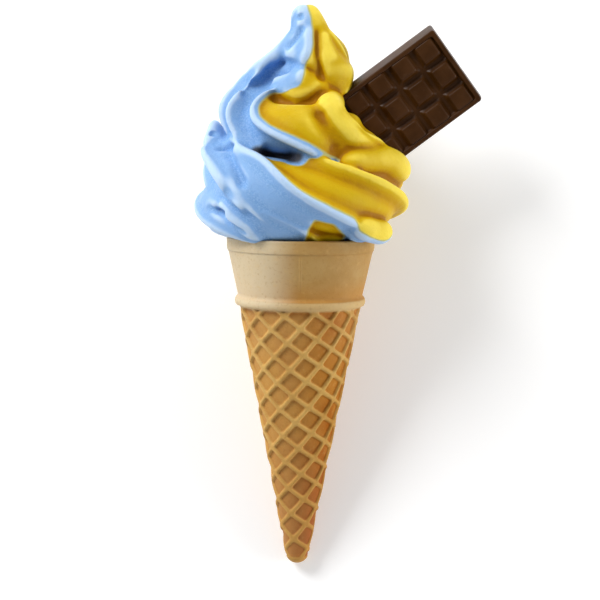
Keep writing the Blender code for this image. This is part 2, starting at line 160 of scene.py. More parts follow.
# The yellow half's middle direction, in degrees, and how it shifts between turns
SEAM = 4
SEAM_SHIFTS = [(-14, (1.2, 1.9)), (-8, (2.3, 2.5)), (22, (2.6, 2.8))]

# The coil's upper side is pressed flat by the coil on it, within these angles of its middle
PRESSED = 0.75
PRESSED_SIDE = math.radians(40)
PRESSED_ANGLES = (-1.0, -0.7)
PRESSED_TURNS = (1.5, 1.7)
PRESSED_END = (2.25, 2.4)

# Core: what fills the cup and the middle of the coils
CORE_FOOT = -98 * MM
CORE_RADIUS = 20.0 * MM
CORE_SHOULDER = 14.5 * MM
SHOULDER_HEIGHT = 44 * MM
CORE_TOP = 62 * MM
CORE_GAP = 0.15 * MM
VOXEL = 0.55 * MM
LUMP_SCALE = 90
LUMP_HEIGHT = 0.25 * MM

# Chocolate bar: a slab with a raised lip and rows of blocks
BAR_LENGTH = 54.0 * MM
BAR_WIDTH = 32.0 * MM
BAR_THICKNESS = 8.0 * MM
BAR_DRAFT = 0.9 * MM
BAR_CORNER = 1.0 * MM
BAR_EDGE = 0.45 * MM
LIP = 1.3 * MM
LIP_EDGE = 0.3 * MM
RECESS = 1.7 * MM
TRAY_CORNER = 0.8 * MM
BLOCK_ROWS = 3
BLOCK_COLUMNS = 5
BLOCK_PITCH = 10.1 * MM
BLOCK = 8.2 * MM
BLOCK_TAPER = 0.85 * MM
BLOCK_PROUD = 0.15 * MM
BLOCK_EDGE = (0.5 * MM, 0.4 * MM)
BAR_END = Vector((54.6, -2.0, 61.2)) * MM
BAR_SLOPE = math.radians(37)
BAR_ROLL = math.radians(8)

# How it lies: the cone's axis rises by TILT from the floor, from its tip to its rim
TILT = math.radians(13.977)

# Front view: how far off the camera is, how high over the rim's plane, and what it looks at. A pixel of the
# picture is about PIXEL wide at the cone's axis.
VIEW_DISTANCE = 669.75 * MM
VIEW_RISE = math.radians(5.5)
VIEW_ROLL = math.radians(0.67)
VIEW_TARGET = Vector((0, 0, -22.3)) * MM
VIEW_LENS = 114.0
SENSOR = 36.0
PICTURE = 600
FOCUS = PICTURE * VIEW_LENS / SENSOR
PIXEL = 0.35 * MM

# The peak's left and right edge and the flavours' border on it, as seen in the picture
PEAK_LEFT = [(304, 5), (299, 8), (295, 17), (291, 32), (285, 45), (284, 57), (294, 70), (304, 90)]
PEAK_RIGHT = [(312, 4), (318, 8), (326, 20), (331, 32), (338, 45), (347, 58), (354, 72), (350, 94)]
PEAK_BORDER = [(306, 2), (311, 18), (313, 41), (311, 55), (306, 64), (304, 75), (299, 86), (289, 92)]
PEAK_BORDER_FOOT = (84, 92)
PEAK_FLATNESS = 0.95

# Folds laid on the rope: a path as seen in the picture, its radius and how far it stands proud, in mm, and
# whether it leaves the surface between its ends. The longest is the welt in front of the bar.
WELT = [(352, 92), (342, 92), (333, 97), (329, 107), (335, 121), (349, 134), (366, 145), (381, 153)]
ROLLS = [
    # The peak's left ridge
    ([(296, 28), (289, 40), (279, 52), (267, 62), (254, 71), (242, 82)], 2.5, 0.7, True),
    # The upper lobe at the right
    ([(344, 168), (358, 160), (377, 160), (394, 167), (402, 174)], 5.8, 2.4, True),
    (WELT, 5.2, 2.0, False),
    # The blue drip over the rim
    ([(350, 229), (360, 238), (370, 243)], 3.0, 2.0, True),
    # The lowest lobe at the right
    ([(354, 223), (367, 229), (379, 232), (386, 231)], 4.4, 1.4, True),
    # The foot of the coil, over the rim
    ([(300, 235), (315, 234), (330, 234), (346, 235)], 3.2, 1.0, True),
    # The small roll at the lower left
    ([(223, 201), (229, 209), (240, 220), (252, 230), (262, 238)], 3.4, 1.6, False),
    # The curl at the far left
    ([(223, 122), (219, 130), (216, 140), (215, 150)], 2.8, -0.6, True),
    # The welt down the left side
    ([(208, 146), (210, 159), (218, 174), (228, 189), (240, 202), (250, 213)], 2.2, 0.9, False),
]
ROLL_ENDS = 0.35
ROLL_BLUNTNESS = 0.12

# Where a flavour shows beyond the rope's own border: paths as seen in the picture, positive for yellow
CAVITY = [(257, 152), (270, 156), (284, 158), (297, 158)]
STAINS = [
    (CAVITY, 2.8, -7),
    ([(268, 147), (284, 149), (300, 154)], 2.8, -6),
    ([(368, 224), (377, 229), (387, 230)], 3.0, 5),
]

# The yellow that shows under the blue at the cup's rim: its corners, clockwise, and how deep it lies
PATCH = [(314, 219), (334, 225), (344, 236), (340, 246), (303, 246)]
PATCH_DEPTH = 1.4 * MM
PATCH_EDGE = 3.0

# How far from their border the flavours are told apart, in the skin and in the patch, and how wide the
# painted cavity shade is
FLAVOUR_LIMIT = 1.5 * MM
PATCH_LIMIT = 2 * MM
CAVITY_SHADE_WIDTH = 3.0 * MM

# Where the surface is worked smooth: a path in the picture, a width in mm and how much
WORKED = [
    ([(331, 22), (338, 34), (345, 48), (350, 60)], 4.0, 60),
    ([(300, 10), (303, 24), (303, 40)], 3.0, 40),
    ([(286, 42), (270, 58), (252, 72), (240, 84)], 3.0, 60),
    ([(352, 108), (366, 120), (380, 136)], 3.5, 60),
    ([(212, 160), (222, 180), (236, 198)], 2.5, 20),
    ([(226, 126), (223, 134), (222, 142)], 2.6, 60),
]

# Where it is pulled: a place in the picture, a size, and how far to the right and up, in mm
PULLS = [
    ((222, 110), 8.0, (-2.6, 0)),
    ((210, 146), 5.0, (-1.6, 0)),
    ((374, 120), 4.5, (-2.6, -1.6)),
]

# Creases and swellings: a path as seen in the picture, its width and height over the surface in mm, and
# whether it goes straight back instead of square to the surface
CREASES = [
    ([(316, 24), (317, 42), (318, 58), (321, 75), (325, 85)], 1.5, -1.8, False),
    ([(324, 28), (329, 46), (335, 64)], 2.6, 0.7, False),
    ([(309, 22), (309, 42), (305, 60), (302, 74), (293, 86)], 2.2, 1.5, False),
    ([(266, 93), (287, 102), (305, 102), (319, 94), (328, 86)], 2.0, -2.0, False),
    ([(316, 106), (323, 125), (333, 141), (340, 157)], 2.8, -1.4, False),
    ([(291, 73), (284, 68), (268, 76), (253, 86), (243, 100)], 2.6, -3.2, False),
    ([(299, 13), (300, 20)], 1.0, -1.8, False),
    ([(303, 24), (297, 36), (285, 49)], 1.5, -1.6, False),
    ([(234, 148), (227, 146), (219, 151)], 1.5, -2.6, False),
    ([(223, 152), (230, 156), (236, 170), (246, 190)], 1.5, -2.0, False),
    ([(212, 208), (218, 212), (225, 215)], 1.3, -2.6, False),
    ([(217, 130), (217, 136)], 1.1, -1.6, False),
    ([(206, 206), (214, 211), (223, 218), (236, 229), (250, 237)], 1.2, -1.8, False),
    (CAVITY, 2.8, 8.0, True),
]
STROKE_FADE = 0.2


def ease(value, start, end):
    """0 before start, 1 after end, smooth between."""
    k = np.clip((value - start) / (end - start), 0, 1)
    return k * k * (3 - 2 * k)


def soft_max(a, b, blend):
    k = np.clip(0.5 + 0.5 * (a - b) / blend, 0, 1)
    return b * (1 - k) + a * k + blend * k * (1 - k)


def soft_min(a, b, blend):
    return -soft_max(-a, -b, blend)


def lying_pose():
    """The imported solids' pose, found from the box of the wafer's solid."""
    low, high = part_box("wafer_cone")
    x = (low[0] + high[0]) / 2
    y = low[1] + TIP_RADIUS - TIP_LEVEL * math.cos(TILT)
    z = TIP_RADIUS - TIP_LEVEL * math.sin(TILT)
    return Matrix.Translation((x, y, z)) @ Matrix.Rotation(TILT - math.pi / 2, 4, "X")


LIE = lying_pose()


def view_matrix():
    """The camera's matrix in the upright frame."""
    back = Vector((0, -math.cos(VIEW_RISE), math.sin(VIEW_RISE)))
    aim = back.to_track_quat("Z", "Y").to_matrix().to_4x4()
    place = Matrix.Translation(VIEW_TARGET + back * VIEW_DISTANCE)
    return place @ aim @ Matrix.Rotation(VIEW_ROLL, 4, "Z")


VIEW = view_matrix()


def heading(turn):
    """The direction from the axis to the rope: 270 degrees is the front."""
    return math.radians(270) - TURN * turn


def bump_at(turn, middle, width):
    """1 at the middle, 0 some widths from it."""
    return np.exp(-(((turn - middle) / width) ** 2))


def rope_centre(turn):
    around = heading(turn)
    reach = BASE_REACH - REACH_LOSS * turn
    reach = START_REACH + (reach - START_REACH) * ease(turn, *BED_TURNS)
    reach = reach * (1 - ease(turn, *CLOSING_TURNS))
    height = soft_max(BED_HEIGHT, RISE * turn + RISE_START, BED_BLEND)
    height = height - SAG * np.cos(around - SAG_SIDE) * (1 - ease(turn, *LEVEL_TURNS))
    height = START_HEIGHT + (height - START_HEIGHT) * ease(turn, *START_TURNS)
    to_tip = np.clip((turn - PEAK_TURN) / (LAST_TURN - PEAK_TURN), 0, 1)
    height = height + PEAK_LIFT * to_tip**PEAK_STEEPNESS
    height = height - DIP * bump_at(turn, *DIP_PLACE)
    x = reach * np.cos(around) + PEAK_SHIFT * ease(turn, *SHIFT_TURNS) - CURL * ease(turn, *CURL_TURNS)
    return np.stack([x, reach * np.sin(around), height], -1)


def rope_thickness(turn):
    thick = BASE_THICKNESS + BELLY * ease(turn, *SWELL_TURNS) - SLIMMING * ease(turn, *UPPER_TURNS)
    thick = thick + PEAK_FOOT * bump_at(turn, *PEAK_FOOT_PLACE)
    height = rope_centre(turn)[:, 2]
    below = np.maximum(height.max() - height, 0)
    peak = TIP_THICKNESS + PEAK_FLARE * below + PEAK_SPREAD * below**2
    thick = np.where(turn > SLIM_TURN, soft_min(thick, peak, 2 * MM), thick)
    return thick * np.sqrt(1 - 0.98 * np.clip(1 - below / TIP_ROUND, 0, 1) ** 2)


def low_twist(turn):
    """How far the flavours' border and the ridge on it are turned at the front of the lower coil."""
    return LOW_TWIST * bump_at(turn, *LOW_TWIST_PLACE)


def high_twist(turn):
    """How far the star is turned where the rope bends into the peak."""
    return HIGH_TWIST * bump_at(turn, *HIGH_TWIST_PLACE)


def star(turn, direction):
    """The section's radius as a share of the thickness: a ridge at each of seven directions."""
    upper = ease(turn, *UPPER_TURNS)[:, None]
    ridges = LOWER_RIDGES + (UPPER_RIDGES - LOWER_RIDGES) * upper + high_twist(turn)[:, None]
    ridges[:, 0] -= FOLD * (1 - ease(turn, *FOLD_TURNS))
    ridges[:, 1] += low_twist(turn)
    ridges[:, 2] += BORDER_FOLD * ease(turn, *BORDER_FOLD_TURNS) * (1 - ease(turn, *BORDER_FOLD_END))
    valleys = LOWER_VALLEYS + (UPPER_VALLEYS - LOWER_VALLEYS) * upper
    spans = np.diff(np.concatenate([ridges, ridges[:, :1] + TURN], axis=1), axis=1)
    share = np.ones(direction.shape)
    for number in range(ridges.shape[1]):
        past = (direction - ridges[:, number, None]) % TURN
        span = spans[:, number, None]
        nearest = np.minimum(past, span - past)
        dip = valleys[:, number, None] * (1 - np.exp(-((nearest / RIDGE_WIDTH) ** 2)))
        share = np.where(past < span, 1 - dip, share)
    off_top = np.abs((direction - PRESSED_SIDE + math.pi) % TURN - math.pi)
    under = ease(turn, *PRESSED_TURNS) * (1 - ease(turn, *PRESSED_END))
    return share + (PRESSED - share) * under[:, None] * ease(-off_top, *PRESSED_ANGLES)


def seam(turn):
    """The middle direction of the yellow half."""
    degrees = SEAM
    for shift, turns in SEAM_SHIFTS:
        degrees = degrees + shift * ease(turn, *turns)
    return np.radians(degrees) + low_twist(turn) + high_twist(turn)


def grid_faces(steps, sides):
    """Quads between rings of points."""
    step, side = np.meshgrid(np.arange(steps - 1) * sides, np.arange(sides), indexing="ij")
    after = (side + 1) % sides
    corners = [step + side, step + after, step + sides + after, step + sides + side]
    return np.stack(corners, -1).reshape(-1, 4)


def loft(name, rings):
    """A closed mesh through rings of points, with its ends capped by fans."""
    steps, sides = rings.shape[:2]
    ends = rings[[0, -1]].mean(axis=1)
    points = np.concatenate([rings.reshape(-1, 3), ends])
    side = np.arange(sides)
    after = (side + 1) % sides
    last = (steps - 1) * sides
    faces = grid_faces(steps, sides).tolist()
    faces += np.stack([0 * side + steps * sides, after, side], -1).tolist()
    faces += np.stack([0 * side + steps * sides + 1, last + side, last + after], -1).tolist()
    mesh = bpy.data.meshes.new(name)
    mesh.from_pydata(points.tolist(), [], faces)
    return mesh


def rope():
    """The rope's mesh, and at each of its points how far it is on the yellow side."""
    turn = np.linspace(FIRST_TURN, LAST_TURN, ROPE_STEPS)
    centre = rope_centre(turn)
    along = np.gradient(centre, turn, axis=0)
    along /= np.linalg.norm(along, axis=1)[:, None]
    direction = np.linspace(0, TURN, ROPE_SIDES, endpoint=False)[None] + 0 * turn[:, None]
    flat = np.stack([np.cos(direction), np.sin(direction), 0 * direction], -1)
    axle = np.cross([0, 0, 1], along)
    sine = np.linalg.norm(axle, axis=1)
    axle = (axle / np.maximum(sine, 1e-9)[:, None])[:, None]
    cosine = along[:, None, 2:]
    across = np.sum(flat * axle, axis=-1, keepdims=True)
    turned = flat * cosine + np.cross(axle, flat) * sine[:, None, None] + axle * across * (1 - cosine)
    radii = rope_thickness(turn)[:, None] * star(turn, direction)
    flavour = np.cos(direction - seam(turn)[:, None]) * radii
    ends = flavour[[0, -1]].mean(axis=1)
    return loft("rope", centre[:, None] + turned * radii[..., None]), np.concatenate([flavour.ravel(), ends])


def core():
    """What fills the cup and the coils' middle."""
    height = np.linspace(CORE_FOOT, CORE_TOP, 60)
    in_cone = (height - APEX) * math.tan(CONE_ANGLE) - WALL - CORE_GAP
    in_coils = CORE_RADIUS + (CORE_SHOULDER - CORE_RADIUS) * ease(height, 0, SHOULDER_HEIGHT)
    dome = np.clip((height - SHOULDER_HEIGHT) / (CORE_TOP - SHOULDER_HEIGHT), 0, 0.98)
    radius = soft_min(in_cone, in_coils * np.sqrt(1 - dome**2), 2 * MM)
    arc = np.linspace(0, TURN, 72, endpoint=False)
    flat = np.stack([np.cos(arc), np.sin(arc), 0 * arc], -1)
    rings = flat[None] * radius[:, None, None]
    rings[..., 2] = height[:, None]
    return loft("core", rings)


def read(items, name, width, kind=np.float32):
    """One row of values for each item."""
    found = np.empty(len(items) * width, kind)
    items.foreach_get(name, found)
    return found.reshape(-1, width)


def mesh_points(mesh):
    return read(mesh.vertices, "co", 3).astype(float)


def set_points(mesh, points):
    mesh.vertices.foreach_set("co", points.astype(np.float32).ravel())
    mesh.update()


def mesh_normals(mesh):
    return read(mesh.vertex_normals, "vector", 3).astype(float)


def mesh_edges(mesh):
    return read(mesh.edges, "vertices", 2, np.int32)


def smoothed(values, edges, times, share=0.5):
    """Values at a mesh's points, each drawn this many times towards its neighbours' mean."""
    count = len(values)
    ends = edges.ravel()
    others = edges[:, ::-1].ravel()
    neighbours = np.maximum(np.bincount(ends, minlength=count), 1)
    values = values.reshape(count, -1).copy()
    for _ in range(times):
        for column in range(values.shape[1]):
            total = np.bincount(ends, weights=values[others, column], minlength=count)
            values[:, column] += share * (total / neighbours - values[:, column])
    return values


def add_attribute(mesh, name, values):
    made = mesh.attributes.new(name, "FLOAT", "POINT")
    made.data.foreach_set("value", values.astype(np.float32).ravel())


def tree_of(mesh):
    """The mesh's surface for ray casts, and its points and triangles."""
    mesh.calc_loop_triangles()
    corners = read(mesh.loop_triangles, "vertices", 3, np.int32)
    points = mesh_points(mesh)
    return BVHTree.FromPolygons(points.tolist(), corners.tolist()), points, corners


def carried_over(values, source, target_points):
    """Values at the source mesh's points, read off at the nearest place of its surface."""
    tree, points, corners = tree_of(source)
    places, found = [], []
    for point in target_points.tolist():
        place, _, number, _ = tree.find_nearest(point)
        places.append(place)
        found.append(number)
    places = np.array(places)
    corners = corners[np.array(found)]
    a, b, c = points[corners[:, 0]], points[corners[:, 1]], points[corners[:, 2]]
    normal = np.cross(b - a, c - a)
    whole = np.maximum(np.einsum("ij,ij->i", normal, normal), 1e-30)
    at_a = np.einsum("ij,ij->i", np.cross(b - places, c - places), normal) / whole
    at_b = np.einsum("ij,ij->i", np.cross(c - places, a - places), normal) / whole
    shares = np.clip(np.stack([at_a, at_b, 1 - at_a - at_b], -1), 0, 1)
    shares /= shares.sum(axis=1, keepdims=True)
    return np.sum(values[corners] * shares, axis=1)


def add_object(name, data):
    made = bpy.data.objects.new(name, data)
    bpy.context.scene.collection.objects.link(made)
    return made


def add_piece(name, mesh, nodes, material):
    """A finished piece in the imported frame, which stands for these nodes."""
    mesh.transform(LIE)
    mesh.materials.clear()
    mesh.materials.append(material)
    made = add_object(name, mesh)
    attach(made, "root")
    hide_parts(*nodes)


def modified(mesh, kind, **settings):
    """The mesh after one modifier."""
    holder = add_object("holder", mesh)
    added = holder.modifiers.new("Change", kind)
    for name, value in settings.items():
        setattr(added, name, value)
    bpy.context.view_layer.update()
    whole = holder.evaluated_get(bpy.context.evaluated_depsgraph_get())
    changed = bpy.data.meshes.new_from_object(whole)
    bpy.data.objects.remove(holder)
    return changed


def joined(meshes, name):
    shape = bmesh.new()
    for mesh in meshes:
        shape.from_mesh(mesh)
    made = bpy.data.meshes.new(name)
    shape.to_mesh(made)
    shape.free()
    return made


def keep_largest(mesh):
    """Drops every loose piece but the one with the most points."""
    edges = mesh_edges(mesh)
    label = np.arange(len(mesh.vertices))
    while True:
        low = np.minimum(label[edges[:, 0]], label[edges[:, 1]])
        before = label.copy()
        np.minimum.at(label, edges[:, 0], low)
        np.minimum.at(label, edges[:, 1], low)
        label = label[label]
        if (label == before).all():
            break
    kept = np.bincount(label).argmax()
    shape = bmesh.new()
    shape.from_mesh(mesh)
    shape.verts.ensure_lookup_table()
    gone = [shape.verts[int(i)] for i in np.flatnonzero(label != kept)]
    bmesh.ops.delete(shape, geom=gone, context="VERTS")
    shape.to_mesh(mesh)
    shape.free()


def ray_through(x, y):
    """The camera's ray through this point of the picture."""
    return (VIEW.to_3x3() @ Vector(((x - PICTURE / 2) / FOCUS, (PICTURE / 2 - y) / FOCUS, -1))).normalized()


def rays_through(corners):
    """The camera's rays along a smooth curve through these points of the picture."""
    return [ray_through(*point) for point in curve_through(np.array(corners, float), 8)]


def at_axis(ray):
    """Where the ray meets the upright plane through the cone's axis that faces the camera."""
    return VIEW.translation - ray * (VIEW.translation.y / ray.y)


def seen_path(tree, corners, level=False):
    """A smooth path on the surface through these points of the picture.

    Past an edge it keeps its distance. A level path goes straight in depth between its ends.
    """
    rays = rays_through(corners)
    reaches = []
    for ray in rays:
        place, _, _, reach = tree.ray_cast(VIEW.translation, ray)
        reaches.append(reach if place else None)
    known = [number for number, reach in enumerate(reaches) if reach is not None]
    found = []
    for number, ray in enumerate(rays):
        nearest = min(known, key=lambda other: abs(other - number))
        reach = reaches[nearest]
        if level:
            share = number / (len(rays) - 1)
            reach = reaches[known[0]] * (1 - share) + reaches[known[-1]] * share
        found.append(VIEW.translation + ray * reach)
    return np.array(found), np.array(rays)


def roll(tree, corners, radius, proud, level):
    """A roll of ice cream along a path that is seen in the picture, standing proud of the surface."""
    path, rays = seen_path(tree, corners, level)
    path = smoothed_path(path + rays * (radius - proud), 6)
    share = np.linspace(0, 1, len(path))
    near_end = np.clip(1 - np.minimum(share, 1 - share) / ROLL_ENDS, 0, 1)
    radii = radius * np.sqrt(1 - (1 - ROLL_BLUNTNESS) * near_end**2)
    along = np.gradient(path, axis=0)
    along /= np.linalg.norm(along, axis=1)[:, None]
    side = np.cross(along, [0, 1, 0])
    side /= np.linalg.norm(side, axis=1)[:, None]
    other = np.cross(along, side)
    arc = np.linspace(0, TURN, 24, endpoint=False)
    ring = np.cos(arc)[None, :, None] * side[:, None] + np.sin(arc)[None, :, None] * other[:, None]
    return loft("roll", path[:, None] + ring * radii[:, None, None])


def between(left, right, flatness):
    """A body between two edges that are seen in the picture, its middle on the cone's axis."""
    left, right = (np.array([at_axis(ray) for ray in rays_through(corners)]) for corners in (left, right))
    middle = (left + right) / 2
    half = (right - left) / 2
    deep = np.linalg.norm(half, axis=1)[:, None] * np.array([0, flatness, 0])
    arc = np.linspace(0, TURN, 64, endpoint=False)[None, :, None]
    return loft("body", middle[:, None] + np.cos(arc) * half[:, None] + np.sin(arc) * deep[:, None])


def seen_at(points):
    """Where points are seen in the picture."""
    inverse = np.array(VIEW.inverted())
    placed = points @ inverse[:3, :3].T + inverse[:3, 3]
    across = PICTURE / 2 - FOCUS * placed[:, 0] / placed[:, 2]
    down = PICTURE / 2 + FOCUS * placed[:, 1] / placed[:, 2]
    return across, down


def inside(points, corners):
    """How far inside a shape of the picture points are seen, in pixels. The shape has no dents."""
    across, down = seen_at(points)
    found = np.full(len(points), 1e9)
    for start, end in zip(corners, corners[1:] + corners[:1]):
        leg = np.array(end, float) - start
        past = leg[0] * (down - start[1]) - leg[1] * (across - start[0])
        found = np.minimum(found, past / np.linalg.norm(leg))
    return np.where(points[:, 1] < 0, found, -1e3)


def smoothed_path(path, times):
    for _ in range(times):
        path = np.concatenate([path[:1], (path[:-2] + 2 * path[1:-1] + path[2:]) / 4, path[-1:]])
    return path


def path_distance(points, path):
    """Each point's distance from a path, and how far along it that is, from 0 to 1."""
    lengths = np.linalg.norm(np.diff(path, axis=0), axis=1)
    starts = np.concatenate([[0], np.cumsum(lengths)])
    best = np.full(len(points), 1e9)
    along = np.zeros(len(points))
    for number, length in enumerate(lengths):
        leg = path[number + 1] - path[number]
        share = np.clip((points - path[number]) @ leg / max(length**2, 1e-12), 0, 1)
        distance = np.linalg.norm(points - path[number] - share[:, None] * leg, axis=1)
        nearer = distance < best
        best = np.where(nearer, distance, best)
        along = np.where(nearer, (starts[number] + share * length) / starts[-1], along)
    return best, along


def curve_through(corners, steps=12):
    """A smooth curve through its corners."""
    padded = np.concatenate([corners[:1] * 2 - corners[1:2], corners, corners[-1:] * 2 - corners[-2:-1]])
    found = []
    for number in range(len(corners) - 1):
        a, b, c, d = padded[number : number + 4]
        for step in range(steps):
            t = step / steps
            bend = (2 * a - 5 * b + 4 * c - d) * t**2 + (3 * b - a - 3 * c + d) * t**3
            found.append(0.5 * (2 * b + (c - a) * t + bend))
    found.append(corners[-1])
    return np.array(found)


def stroke(points, normals, tree, corners, width, height, inwards):
    """Raises or sinks the surface along a path that is given as seen in the picture."""
    path, _ = seen_path(tree, corners)
    distance, along = path_distance(points, smoothed_path(path, 3))
    near = distance < 4 * width
    share = np.zeros(len(points))
    share[near] = np.exp(-((distance[near] / width) ** 2))
    share *= ease(along, -0.001, STROKE_FADE) * ease(1 - along, -0.001, STROKE_FADE)
    away = np.array([0, 1, 0]) if inwards else normals
    return away * (share * height)[:, None]


def near_path(points, tree, corners, width):
    """How near the surface's points are to a path as seen in the picture, from 0 to 1."""
    path, _ = seen_path(tree, corners)
    distance, _ = path_distance(points, path)
    return np.exp(-((distance / width) ** 2))


def pulled(points, place, size, pull):
    """Shifts what is seen near a place of the picture."""
    middle = at_axis(ray_through(*place))
    off = np.hypot(points[:, 0] - middle.x, points[:, 2] - middle.z)
    share = np.exp(-((off / (size * MM)) ** 2))
    return points + share[:, None] * np.array([pull[0], 0, pull[1]]) * MM


def one_skin(mesh, times):
    """One closed skin round a mesh, smoothed this many times, and its edges and points."""
    skin = modified(mesh, "REMESH", mode="VOXEL", voxel_size=VOXEL)
    keep_largest(skin)
    edges = mesh_edges(skin)
    points = smoothed(mesh_points(skin), edges, times)
    set_points(skin, points)
    return skin, edges, points


def folded_skin(sweep):
    """The coils and their core as one skin, with the folds, creases and pulls that the picture shows."""
    tree, _, _ = tree_of(sweep)
    peak = between(PEAK_LEFT, PEAK_RIGHT, PEAK_FLATNESS)
    rolls = [roll(tree, path, radius * MM, proud * MM, level) for path, radius, proud, level in ROLLS]
    skin, edges, points = one_skin(joined([sweep, core(), peak, *rolls], "ice cream"), 3)
    tree, _, _ = tree_of(skin)
    for corners, width, times in WORKED:
        share = near_path(points, tree, corners, width * MM)[:, None]
        points = points + share * (smoothed(points, edges, times) - points)
    set_points(skin, points)
    tree, _, _ = tree_of(skin)
    normals = smoothed(mesh_normals(skin), edges, 4)
    change = 0 * points
    for corners, width, height, inwards in CREASES:
        change += stroke(points, normals, tree, corners, width * MM, height * MM, inwards)
    points = points + change
    points[:, 1] += ease(inside(points, PATCH), -PATCH_EDGE / 2, PATCH_EDGE / 2) * PATCH_DEPTH
    for place, size, pull in PULLS:
        points = pulled(points, place, size, pull)
    set_points(skin, points)
    return one_skin(skin, 1)


def shown_flavour(flavour, points, tree):
    """The rope's flavours, corrected where the picture shows their border elsewhere."""
    flavour = np.clip(flavour, -FLAVOUR_LIMIT, FLAVOUR_LIMIT)
    across, down = seen_at(points)
    border = curve_through(np.array(PEAK_BORDER, float))
    past_border = (across - np.interp(down, border[:, 1], border[:, 0])) * PIXEL
    on_peak = np.clip(past_border, -FLAVOUR_LIMIT, FLAVOUR_LIMIT)
    start, end = PEAK_BORDER_FOOT
    flavour = flavour + (on_peak - flavour) * ease(-down, -end, -start)
    for corners, width, amount in STAINS:
        flavour = flavour + amount * MM * near_path(points, tree, corners, width * MM)
    return np.maximum(flavour, np.clip(inside(points, PATCH) * PIXEL, -PATCH_LIMIT, PATCH_LIMIT))


def noise_at(points, scale):
    return np.array([noise.noise(Vector(point) * scale) for point in points.tolist()])


def kept_over_floor(points):
    """Flattens what would lie under the surface that the ice cream lies on."""
    turned = np.array(LIE)[:3, :3]
    lift = np.array(LIE)[:3, 3]
    placed = points @ turned.T + lift
    placed[:, 2] = np.maximum(placed[:, 2], 0)
    return (placed - lift) @ turned


def ice_cream():
    """Both flavours as one skin, with the flavour kept at each of its points."""
    sweep, flavour = rope()
    skin, edges, points = folded_skin(sweep)
    tree, _, _ = tree_of(skin)
    flavour = shown_flavour(carried_over(flavour, sweep, points), points, tree)
    flavour = smoothed(flavour, edges, 8)[:, 0]

    points = mesh_points(skin)
    points = points + mesh_normals(skin) * (LUMP_HEIGHT * noise_at(points, LUMP_SCALE))[:, None]
    points = kept_over_floor(points)
    set_points(skin, points)

    normals = mesh_normals(skin)
    # How hollow the surface is, near and wide, for painting shade into its grooves and highlight onto its
    # ridges
    hollow = np.einsum("ij,ij->i", smoothed(points, edges, 30) - points, normals)
    wide = np.einsum("ij,ij->i", smoothed(points, edges, 160) - points, normals)
    add_attribute(skin, "flavour", flavour / MM)
    add_attribute(skin, "hollow", hollow / MM)
    add_attribute(skin, "wide", wide / MM)
    # Painted shade: how near each point is to the cavity, so that it can be darkened there
    add_attribute(skin, "painted_cavity_shade", near_path(points, tree, CAVITY, CAVITY_SHADE_WIDTH))
    skin.shade_smooth()
    return skin


def waffle_depth(slant, around):
    """How far a place is sunk, from 0 on a rib to 1 on a pocket's floor, and how near it is to a crest."""
    wrapped = around * math.sin(CONE_ANGLE)
    place = np.stack([slant * np.sin(wrapped), slant * np.cos(wrapped)], -1) - FIRST_CELL
    down = np.array([math.cos(RIB_DOWN), math.sin(RIB_DOWN)])
    up = np.array([math.cos(RIB_UP), math.sin(RIB_UP)])
    to_cells = np.linalg.inv(np.stack([down, up], -1)) / CELL
    cell = place @ to_cells.T
    off = np.abs(cell - np.round(cell)) * CELL
    reach = (off[..., 0] ** 7 + off[..., 1] ** 7) ** (1 / 7)
    half = (CELL - RIB) / 2
    sunk = 1 - ease(reach, half - POCKET_SLOPE / 2, half + POCKET_SLOPE / 2)
    back = (math.pi - np.abs(around)) * slant * math.sin(CONE_ANGLE)
    sunk = sunk * ease(back, SEAM_MARGIN * 0.7, SEAM_MARGIN * 1.3)
    crest = np.clip((reach - half) / (RIB / 2), 0, 1)
    return sunk * ease(slant, WAFFLE_FOOT, WAFFLE_FOOT + 0.8 * MM), crest


def arc_profile(centre, radius, start, end, steps):
    angles = np.linspace(math.radians(start), math.radians(end), steps)
    return [(centre[0] + radius * math.cos(a), centre[1] + radius * math.sin(a)) for a in angles]


def wafer_profile():
    """The outer side from the rim down to the bead's foot, as points of radius and height."""
    band_foot = RIM_RADIUS - 0.25 * MM
    cup_top = band_foot - BAND_PROUD
    bead_top = -CUP_HEIGHT
    bead_foot = bead_top - BEAD_HEIGHT
    cone_top = (bead_foot - APEX) * math.tan(CONE_ANGLE)
    rows = arc_profile((RIM_RADIUS - 0.7 * MM, -0.7 * MM), 0.7 * MM, 90, 0, 7)
    rows += [(RIM_RADIUS - 0.10 * MM, -z) for z in np.linspace(1.2 * MM, BAND_HEIGHT - 1.6 * MM, 8)]
    rows += arc_profile((band_foot - 0.4 * MM, -BAND_HEIGHT + 0.75 * MM), 0.4 * MM, 0, -80, 6)
    rows += arc_profile((cup_top + 0.3 * MM, -BAND_HEIGHT - 0.15 * MM), 0.3 * MM, 110, 180, 5)
    for share in np.linspace(0.04, 0.97, 26):
        level = -BAND_HEIGHT + share * (bead_top + BAND_HEIGHT)
        rows.append((cup_top + share * (CUP_FOOT_RADIUS - cup_top), level))
    middle = (BEAD_RADIUS - 0.5 * BEAD_HEIGHT * 0.72, bead_top - 0.5 * BEAD_HEIGHT)
    for angle in np.radians(np.linspace(62, -62, 22)):
        bulge = 0.5 * BEAD_HEIGHT
        rows.append((middle[0] + bulge * 0.72 * math.cos(angle) ** 0.8, middle[1] + bulge * math.sin(angle)))
    rows.append((cone_top + 0.1 * MM, bead_foot - 0.1 * MM))
    return rows


def facing_outwards(mesh):
    shape = bmesh.new()
    shape.from_mesh(mesh)
    bmesh.ops.recalc_face_normals(shape, faces=shape.faces)
    shape.to_mesh(mesh)
    shape.free()


